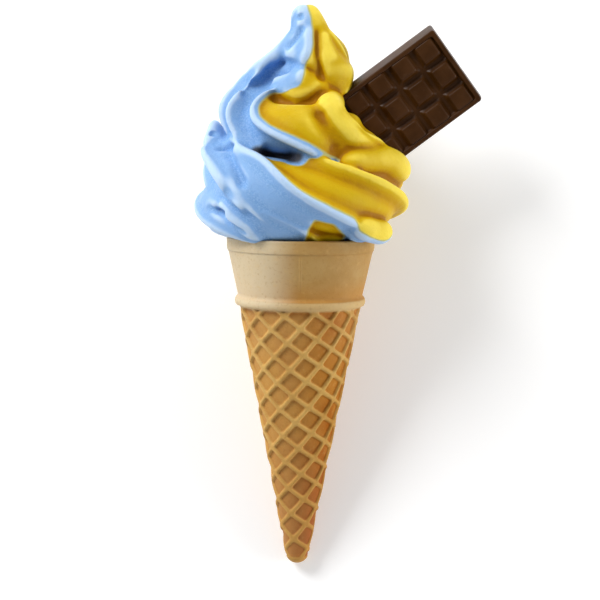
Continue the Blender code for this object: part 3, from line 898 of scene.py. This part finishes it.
def wafer_inside():
    """The inner side from the hollow's foot up to the rim, as points of radius and height."""
    slope = math.tan(CONE_ANGLE)
    bead_foot = -CUP_HEIGHT - BEAD_HEIGHT
    rows = [
        ((HOLLOW_FOOT - APEX) * slope - WALL, HOLLOW_FOOT),
        ((bead_foot - APEX) * slope - WALL, bead_foot),
        (CUP_FOOT_RADIUS - WALL, -CUP_HEIGHT),
        (RIM_RADIUS - WALL, -0.9 * MM),
    ]
    return rows + arc_profile((RIM_RADIUS - WALL + 0.6 * MM, -0.6 * MM), 0.6 * MM, 170, 90, 5)


def waffled_rings(around):
    """The cone's rings from the bead's foot to the tip: radii, levels and shares of a pocket's depth."""
    top_slant = (-CUP_HEIGHT - BEAD_HEIGHT - 0.4 * MM - APEX) / math.cos(CONE_ANGLE)
    low_slant = TIP_RADIUS / math.tan(CONE_ANGLE)
    for slant in np.arange(top_slant, low_slant, -ROW):
        depth, crest = waffle_depth(np.full(WAFER_SIDES, slant), around)
        under_bead = ease(top_slant - slant, -0.2 * MM, 0.5 * MM)
        deep = POCKET_DEPTH * (SHALLOWEST + (1 - SHALLOWEST) * ease(slant, *SHALLOW_SLANTS))
        sink = depth * under_bead * deep - crest * (1 - depth) * CREST
        radius = slant * math.sin(CONE_ANGLE) - sink * math.cos(CONE_ANGLE)
        level = APEX + slant * math.cos(CONE_ANGLE) + sink * math.sin(CONE_ANGLE)
        yield radius, level, depth * under_bead
    for angle in np.linspace(CONE_ANGLE, math.pi / 2 - 0.02, 16):
        slant = low_slant - TIP_RADIUS * (angle - CONE_ANGLE)
        depth, _ = waffle_depth(np.full(WAFER_SIDES, slant), around)
        radius = TIP_RADIUS - depth * SHALLOWEST * POCKET_DEPTH
        yield radius * math.cos(angle), TIP_LEVEL - radius * math.sin(angle), depth


def wafer():
    """The wafer's skin: its inside, the rim, the cup, the bead and the waffled cone, down to the tip."""
    around = np.linspace(-math.pi, math.pi, WAFER_SIDES, endpoint=False)
    inner = wafer_inside()
    whole = np.ones(WAFER_SIDES)
    rings = [(radius * whole, level * whole, 0 * whole) for radius, level in inner + wafer_profile()]
    rings += waffled_rings(around)
    radii, levels, depths = (np.array(part) for part in zip(*rings))
    line = bump_at(around * LINE_RADIUS, 0, LINE_WIDTH)[None]
    on_cup = ease(-levels, BAND_HEIGHT + 0.2 * MM, BAND_HEIGHT + 1 * MM) * ease(levels, *LINE_FOOT)
    outside = (np.arange(len(rings)) >= len(inner))[:, None]
    radii = radii + LINE_HEIGHT * line * on_cup * outside
    mesh = loft("wafer", np.stack([radii * np.sin(around), -radii * np.cos(around), levels], -1))
    points = mesh_points(mesh)
    uneven = ROUGH_HEIGHT * noise_at(points, ROUGH_SCALE) + CRUMB_HEIGHT * noise_at(points, CRUMB_SCALE)
    points = points + mesh_normals(mesh) * uneven[:, None]
    set_points(mesh, points)
    add_attribute(mesh, "depth", np.concatenate([depths.ravel(), [0, 0]]))
    add_attribute(mesh, "level", points[:, 2] / MM)
    facing_outwards(mesh)
    mesh.shade_smooth()
    return mesh


def rounded_ring(width, depth, corner, height):
    """Points round a rectangle with round corners."""
    steps = 6
    found = []
    for number, (sx, sy) in enumerate(((1, 1), (-1, 1), (-1, -1), (1, -1))):
        for angle in np.radians(np.linspace(0, 90, steps) + 90 * number):
            x = sx * (width / 2 - corner) + corner * math.cos(angle)
            y = sy * (depth / 2 - corner) + corner * math.sin(angle)
            found.append((x, y, height))
    return found


def slab_rings():
    """The slab from its back, up its sides and over the lip, down into the tray."""
    rings = []

    def ring(inset, height, corner=BAR_CORNER):
        rings.append(rounded_ring(BAR_LENGTH - 2 * inset, BAR_WIDTH - 2 * inset, corner, height))

    quarter = np.radians(np.linspace(0, 90, 5))
    ring(0.7 * MM, -BAR_THICKNESS, 0.6 * MM)
    for angle in quarter:
        ring(BAR_EDGE * (1 - math.sin(angle)), -BAR_THICKNESS + BAR_EDGE * (1 - math.cos(angle)))
    for share in (0.25, 0.5, 0.75):
        ring(BAR_DRAFT * share, -BAR_THICKNESS * (1 - share))
    for angle in quarter:
        ring(BAR_DRAFT + BAR_EDGE * (1 - math.cos(angle)), -BAR_EDGE * (1 - math.sin(angle)))
    inner = BAR_DRAFT + LIP
    for angle in quarter:
        ring(inner + LIP_EDGE * math.sin(angle), -LIP_EDGE * (1 - math.cos(angle)), TRAY_CORNER)
    for share in (0.4, 0.8):
        ring(inner + LIP_EDGE + 0.35 * MM * share, -LIP_EDGE - (RECESS - LIP_EDGE) * share, TRAY_CORNER)
    ring(inner + 0.8 * MM, -RECESS + 0.05 * MM, TRAY_CORNER)
    for inset in (1.2 * MM, 6 * MM):
        ring(inner + inset, -RECESS, TRAY_CORNER)
    return np.array(rings)


def block_rings():
    """A block from under the tray's floor, up its sloped sides to its top."""
    rings = []

    def ring(inset, height, corner):
        rings.append(rounded_ring(BLOCK - 2 * inset, BLOCK - 2 * inset, corner, height))

    edge_width, edge_drop = BLOCK_EDGE
    ring(-0.5 * MM, -RECESS - 0.3 * MM, 0.5 * MM)
    ring(-0.35 * MM, -RECESS + 0.02 * MM, 0.5 * MM)
    ring(0, -RECESS + 0.25 * MM, 0.55 * MM)
    ring(BLOCK_TAPER * 0.5, -RECESS * 0.5, 0.65 * MM)
    for angle in np.radians(np.linspace(0, 75, 6)):
        inset = BLOCK_TAPER + edge_width * (1 - math.cos(angle))
        ring(inset, BLOCK_PROUD - edge_drop * (1 - math.sin(angle)), 0.7 * MM)
    ring(BLOCK_TAPER + 1.2 * MM, BLOCK_PROUD + 0.03 * MM, 0.5 * MM)
    return np.array(rings)


def bar():
    """The slab with its lip and tray, and its blocks standing in the tray."""
    meshes = [loft("slab", slab_rings())]
    for column in range(BLOCK_COLUMNS):
        for row in range(BLOCK_ROWS):
            middle = np.array([column - (BLOCK_COLUMNS - 1) / 2, row - (BLOCK_ROWS - 1) / 2, 0]) * BLOCK_PITCH
            meshes.append(loft("block", block_rings() + middle))
    mesh = joined(meshes, "chocolate")
    length = Vector((math.cos(BAR_SLOPE), 0, math.sin(BAR_SLOPE)))
    face = Matrix.Rotation(BAR_ROLL, 3, length) @ Vector((0, -1, 0))
    width = face.cross(length)
    pose = Matrix((length, width, face)).transposed().to_4x4()
    pose.translation = BAR_END - length * (BAR_LENGTH / 2)
    facing_outwards(mesh)
    mesh.transform(pose)
    mesh.shade_smooth()
    mesh.set_sharp_from_angle(angle=math.radians(35))
    return mesh


class Nodes:
    """A material's nodes, made by short calls."""

    def __init__(self, name):
        self.material = bpy.data.materials.new(name)
        self.material.use_nodes = True
        self.tree = self.material.node_tree
        self.shader = self.tree.nodes["Principled BSDF"]

    def add(self, kind, inputs=None, **settings):
        made = self.tree.nodes.new(kind)
        for name, value in settings.items():
            setattr(made, name, value)
        for name, value in (inputs or {}).items():
            self.put(value, made.inputs[name])
        return made

    def put(self, value, socket):
        if isinstance(value, bpy.types.NodeSocket):
            self.tree.links.new(value, socket)
        elif isinstance(value, tuple) and socket.type == "RGBA":
            socket.default_value = (*value, 1)
        else:
            socket.default_value = value

    def attribute(self, name):
        return self.add("ShaderNodeAttribute", attribute_name=name).outputs["Fac"]

    def position(self):
        return self.add("ShaderNodeTexCoord").outputs["Object"]

    def noise(self, scale, detail=2.0, roughness=0.5):
        inputs = {"Scale": scale, "Detail": detail, "Roughness": roughness, "Vector": self.position()}
        return self.add("ShaderNodeTexNoise", inputs).outputs["Fac"]

    def math(self, operation, a, b=0.0, clamp=False):
        return self.add("ShaderNodeMath", {0: a, 1: b}, operation=operation, use_clamp=clamp).outputs[0]

    def times(self, a, b):
        return self.math("MULTIPLY", a, b)

    def range(self, value, low, high, to_low=0.0, to_high=1.0, smooth=True):
        kind = "SMOOTHSTEP" if smooth else "LINEAR"
        inputs = {"Value": value, "From Min": low, "From Max": high, "To Min": to_low, "To Max": to_high}
        return self.add("ShaderNodeMapRange", inputs, interpolation_type=kind).outputs["Result"]

    def mix(self, factor, a, b):
        return self.add("ShaderNodeMix", {0: factor, 6: a, 7: b}, data_type="RGBA").outputs[2]

    def ramp(self, value, *stops):
        made = self.add("ShaderNodeValToRGB", {0: value})
        made.color_ramp.interpolation = "EASE"
        stop = made.color_ramp.elements
        while len(stop) < len(stops):
            stop.new(0.5)
        for element, (place, colour) in zip(stop, stops):
            element.position = place
            element.color = (*colour, 1)
        return made.outputs[0]

    def bump(self, height, strength, distance, before=None):
        inputs = {"Strength": strength, "Distance": distance, "Height": height}
        if before:
            inputs["Normal"] = before
        return self.add("ShaderNodeBump", inputs).outputs["Normal"]

    def set(self, **values):
        for name, value in values.items():
            self.put(value, self.shader.inputs[name.replace("_", " ")])


def ice_cream_material():
    nodes = Nodes("soft serve")
    wobble = nodes.times(nodes.math("SUBTRACT", nodes.noise(90, 2), 0.5), 1.6)
    flavour = nodes.math("ADD", nodes.attribute("flavour"), wobble)
    is_yellow = nodes.range(flavour, -0.8, 0.8)
    hollow = nodes.range(nodes.attribute("hollow"), -0.35, 0.35, smooth=False)
    wide = nodes.range(nodes.attribute("wide"), -1.6, 1.6, smooth=False)
    groove_shading = nodes.math("ADD", nodes.times(hollow, 0.55), nodes.times(wide, 0.45))
    streak = nodes.times(nodes.math("SUBTRACT", nodes.noise(260, 4, 0.6), 0.5), 0.10)
    groove_shading = nodes.math("ADD", groove_shading, streak, clamp=True)
    # Painted shade and highlight: pale on the ridges, darker and deeper in colour in the grooves
    blue = nodes.ramp(
        groove_shading,
        (0.08, (0.46, 0.615, 0.82)),
        (0.40, (0.215, 0.395, 0.69)),
        (0.58, (0.18, 0.36, 0.66)),
        (0.82, (0.15, 0.325, 0.63)),
    )
    yellow = nodes.ramp(
        groove_shading,
        (0.16, (0.82, 0.64, 0.075)),
        (0.38, (0.60, 0.395, 0.006)),
        (0.55, (0.53, 0.305, 0.001)),
        (0.78, (0.34, 0.145, 0.001)),
    )
    grain = nodes.noise(1900, 3, 0.55)
    frosted = nodes.times(nodes.range(grain, 0.40, 0.66, 0, 0.2), nodes.range(groove_shading, 0.3, 0.6))
    blue = nodes.mix(frosted, blue, (0.62, 0.78, 0.95))
    colour = nodes.mix(nodes.range(is_yellow, 0.0, 0.5), blue, (0.45, 0.44, 0.16))
    colour = nodes.mix(nodes.range(is_yellow, 0.5, 1.0), colour, yellow)
    # Painted shade: the colour goes near black in the cavity under the coil
    painted_cavity_shade = nodes.range(nodes.attribute("painted_cavity_shade"), 0.3, 0.9, 0, 0.96)
    nodes.set(Base_Color=nodes.mix(painted_cavity_shade, colour, (0.042, 0.036, 0.037)))
    frost = nodes.noise(620, 2, 0.5)
    bump = nodes.bump(frost, 0.6, 0.3 * MM)
    bump = nodes.bump(grain, 0.9, 0.2 * MM, bump)
    nodes.set(Normal=bump, Roughness=nodes.range(nodes.noise(180, 3), 0.3, 0.7, 0.34, 0.5))
    nodes.set(Specular_IOR_Level=nodes.range(flavour, -0.35, 0.35, 0.28, 0.12), IOR=1.38)
    nodes.set(Subsurface_Weight=0.25, Subsurface_Scale=1.4 * MM, Subsurface_Radius=(1.0, 0.8, 0.6))
    return nodes.material


def wafer_material():
    """Pale cup and bead, and below them the waffle: pale ribs, toasted pockets, darker towards the tip."""
    nodes = Nodes("baked wafer")
    level = nodes.attribute("level")
    bead_top = -CUP_HEIGHT / MM
    bead_foot = bead_top - BEAD_HEIGHT / MM
    patches = nodes.noise(75, 3, 0.55)
    toast = nodes.range(patches, 0.36, 0.66)
    low = nodes.range(level, -114, -52, 1.0, 0.0)

    cup = nodes.mix(toast, (0.43, 0.265, 0.088), (0.39, 0.22, 0.062))
    toasted = nodes.range(level, bead_top - 0.1, bead_top + 8.7, 0.7, 0.0)
    toasted = nodes.times(toasted, nodes.range(level, bead_top - 0.9, bead_top - 0.3))
    cup = nodes.mix(toasted, cup, (0.44, 0.20, 0.035))
    bead = nodes.range(level, bead_top - 1.1, bead_top - 0.5, 0.5, 0.0)
    cup = nodes.mix(bead, cup, (0.66, 0.48, 0.23))

    rib = nodes.mix(toast, (0.53, 0.315, 0.085), (0.41, 0.20, 0.036))
    rib = nodes.mix(low, rib, (0.41, 0.185, 0.032))
    pocket = nodes.mix(toast, (0.42, 0.165, 0.018), (0.34, 0.105, 0.007))
    pocket = nodes.mix(low, pocket, (0.25, 0.034, 0.0))
    waffled = nodes.mix(nodes.range(nodes.attribute("depth"), 0.25, 0.95), rib, pocket)
    colour = nodes.mix(nodes.range(level, bead_foot - 1.2, bead_foot, 1.0, 0.0), cup, waffled)

    right = nodes.add("ShaderNodeSeparateXYZ", {0: nodes.position()}).outputs[0]
    # Painted sheen: the cup and bead paler towards their left and right edges
    sides = nodes.range(nodes.math("ABSOLUTE", right), 12 * MM, 26 * MM, 0.0, 0.7)
    sides = nodes.times(sides, nodes.range(level, bead_foot - 2, bead_foot + 2))
    colour = nodes.mix(sides, colour, (0.68, 0.58, 0.40))
    # Painted light: the waffle paler on its left and right sides, where the lamps light it
    on_waffle = nodes.range(level, bead_foot, bead_foot - 3, 0, 0.4)
    painted_light_left = nodes.times(nodes.range(right, -2 * MM, -18 * MM), on_waffle)
    colour = nodes.mix(painted_light_left, colour, (0.66, 0.42, 0.14))
    painted_light_right = nodes.times(nodes.range(right, 3 * MM, 14 * MM), on_waffle)
    colour = nodes.mix(painted_light_right, colour, (0.46, 0.33, 0.13))

    speck = nodes.range(nodes.noise(900, 4, 0.65), 0.52, 0.75, 0.0, 0.32)
    colour = nodes.mix(speck, colour, (0.28, 0.11, 0.02))
    pale = nodes.range(nodes.noise(420, 4, 0.7), 0.52, 0.75)
    pale = nodes.times(pale, nodes.range(level, -105, -55, 0.08, 0.25))
    colour = nodes.mix(pale, colour, (0.62, 0.38, 0.12))
    nodes.set(Base_Color=colour)

    bump = nodes.bump(nodes.noise(500, 4, 0.6), 0.35, 0.25 * MM)
    bump = nodes.bump(nodes.noise(1700, 3, 0.6), 0.3, 0.1 * MM, bump)
    nodes.set(Normal=bump, Roughness=nodes.range(patches, 0.3, 0.7, 0.52, 0.68))
    nodes.set(Specular_IOR_Level=nodes.range(level, bead_foot - 26, bead_foot, 0.07, 0.2))
    nodes.set(Subsurface_Weight=0.1, Subsurface_Scale=0.8 * MM, Subsurface_Radius=(1.0, 0.6, 0.3))
    return nodes.material


def chocolate_material():
    nodes = Nodes("chocolate")
    cloud = nodes.noise(110, 3, 0.6)
    colour = nodes.mix(nodes.range(cloud, 0.3, 0.7), (0.037, 0.0122, 0.0012), (0.056, 0.0195, 0.0030))
    bloom = nodes.range(nodes.noise(420, 4, 0.7), 0.55, 0.8, 0.0, 0.16)
    colour = nodes.mix(bloom, colour, (0.13, 0.07, 0.036))
    nodes.set(Base_Color=colour)
    bump = nodes.bump(nodes.noise(260, 3, 0.5), 0.3, 0.3 * MM)
    bump = nodes.bump(nodes.noise(1500, 2, 0.5), 0.2, 0.08 * MM, bump)
    nodes.set(Normal=bump, Roughness=nodes.range(cloud, 0.3, 0.7, 0.34, 0.46))
    nodes.set(Specular_IOR_Level=0.16, Coat_Weight=0.04, Coat_Roughness=0.25)
    return nodes.material


def floor_material():
    nodes = Nodes("floor")
    tone = nodes.mix(nodes.range(nodes.noise(3, 2), 0.3, 0.7), (0.90, 0.90, 0.90), (0.92, 0.92, 0.92))
    nodes.set(Base_Color=tone, Roughness=0.9, Specular_IOR_Level=0.1)
    nodes.set(Emission_Color=(1, 1, 1), Emission_Strength=0.2)
    return nodes.material


def add_light(name, place, aim, size, power):
    lamp = bpy.data.lights.new(name, "AREA")
    lamp.size = size
    lamp.energy = power
    turned = (place - aim).to_track_quat("Z", "Y").to_matrix().to_4x4()
    add_object(name, lamp).matrix_world = Matrix.Translation(place) @ turned


def stage():
    """Camera, floor, lights and the light around."""
    scene = bpy.context.scene
    lens = bpy.data.cameras.new("camera")
    lens.sensor_width = SENSOR
    lens.lens = VIEW_LENS
    lens.clip_start = 0.01
    camera = add_object("camera", lens)
    camera.matrix_world = LIE @ VIEW
    scene.camera = camera

    shape = bmesh.new()
    bmesh.ops.create_grid(shape, x_segments=8, y_segments=8, size=3.0)
    mesh = bpy.data.meshes.new("floor")
    shape.to_mesh(mesh)
    shape.free()
    mesh.materials.append(floor_material())
    floor = add_object("floor", mesh)

    middle = Vector((0, 0, 0.03))
    add_light("key", middle + Vector((-0.62, 0.55, 0.62)), middle, size=0.45, power=9.0)
    add_light("right", middle + Vector((0.85, -0.05, 0.22)), middle, size=0.5, power=4.6)

    world = bpy.data.worlds.new("studio")
    scene.world = world
    world.use_nodes = True
    tree = world.node_tree
    ground = tree.nodes["Background"]
    way = tree.nodes.new("ShaderNodeTexCoord")
    split = tree.nodes.new("ShaderNodeSeparateXYZ")
    ramp = tree.nodes.new("ShaderNodeValToRGB")
    tree.links.new(way.outputs["Generated"], split.inputs[0])
    tree.links.new(split.outputs["Z"], ramp.inputs[0])
    tree.links.new(ramp.outputs[0], ground.inputs["Color"])
    low_and_high = ((0.05, (1.15, 1.15, 1.15, 1)), (0.95, (0.15, 0.155, 0.16, 1)))
    for stop, (place, colour) in zip(ramp.color_ramp.elements, low_and_high):
        stop.position = place
        stop.color = colour
    ground.inputs["Strength"].default_value = 0.95
    scene.view_settings.view_transform = "Standard"


stage()
flavours = ["blue_ice_cream", "yellow_ice_cream"]
add_piece("ice_cream", ice_cream(), flavours, ice_cream_material())
add_piece("wafer", wafer(), ["wafer_cone"], wafer_material())
add_piece("chocolate", bar(), ["chocolate_bar"], chocolate_material())
